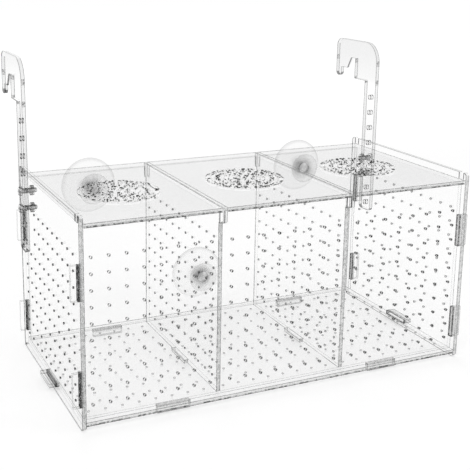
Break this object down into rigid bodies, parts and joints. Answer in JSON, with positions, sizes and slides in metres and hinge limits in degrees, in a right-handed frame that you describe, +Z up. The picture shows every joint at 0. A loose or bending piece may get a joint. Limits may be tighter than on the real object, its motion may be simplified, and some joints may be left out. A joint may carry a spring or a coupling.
{
  "type": "fish breeding box",
  "caption": "Clear acrylic fish breeding box with perforated rooms side by side, lift-off lids with round grilles, lift-out dividers, hooked hangers and suction cups.",
  "frame": {"origin": "middle of the whole object's base rectangle, hangers included, level with the end panels' bottom edges; that is 17.6 mm behind the middle of the box itself", "axes": "+X to the right along the row of rooms, +Y towards the tank's glass wall, where the hooks and suction cups are, +Z up"},
  "size_m": [0.3112, 0.1852, 0.2285],
  "materials": {
    "upright_sheet": "polished clear sheet",
    "flat_sheet": "polished clear sheet, slightly greyer",
    "hanger_sheet": "polished clear sheet",
    "clear_fastener": "clear moulded plastic",
    "clear_rubber": "soft clear rubber"
  },
  "bodies": {
    "box": {"left_end_panel": "upright_sheet", "right_end_panel": "upright_sheet", "front_panel": "upright_sheet", "back_panel": "upright_sheet", "bottom_panel": "flat_sheet", "left_hanger": "hanger_sheet", "right_hanger": "hanger_sheet", "left_upper_screw": "clear_fastener", "left_lower_screw": "clear_fastener", "right_upper_screw": "clear_fastener", "right_lower_screw": "clear_fastener", "left_upper_nut": "clear_fastener", "left_lower_nut": "clear_fastener", "right_upper_nut": "clear_fastener", "right_lower_nut": "clear_fastener", "left_suction_cup": "clear_rubber", "right_suction_cup": "clear_rubber", "lower_suction_cup": "clear_rubber"},
    "left_lid": {"left_lid": "flat_sheet"},
    "middle_lid": {"middle_lid": "flat_sheet"},
    "right_lid": {"right_lid": "flat_sheet"},
    "left_divider": {"left_divider": "upright_sheet"},
    "right_divider": {"right_divider": "upright_sheet"}
  },
  "joints": [
    {"name": "left_lid_lift", "type": "slide", "parent": "box", "child": "left_lid", "axis": [0, 0, 1], "range_m": [0, 0.15]},
    {"name": "middle_lid_lift", "type": "slide", "parent": "box", "child": "middle_lid", "axis": [0, 0, 1], "range_m": [0, 0.15]},
    {"name": "right_lid_lift", "type": "slide", "parent": "box", "child": "right_lid", "axis": [0, 0, 1], "range_m": [0, 0.15]},
    {"name": "left_divider_lift", "type": "slide", "parent": "box", "child": "left_divider", "axis": [0, 0, 1], "range_m": [0, 0.14]},
    {"name": "right_divider_lift", "type": "slide", "parent": "box", "child": "right_divider", "axis": [0, 0, 1], "range_m": [0, 0.14]}
  ]
}
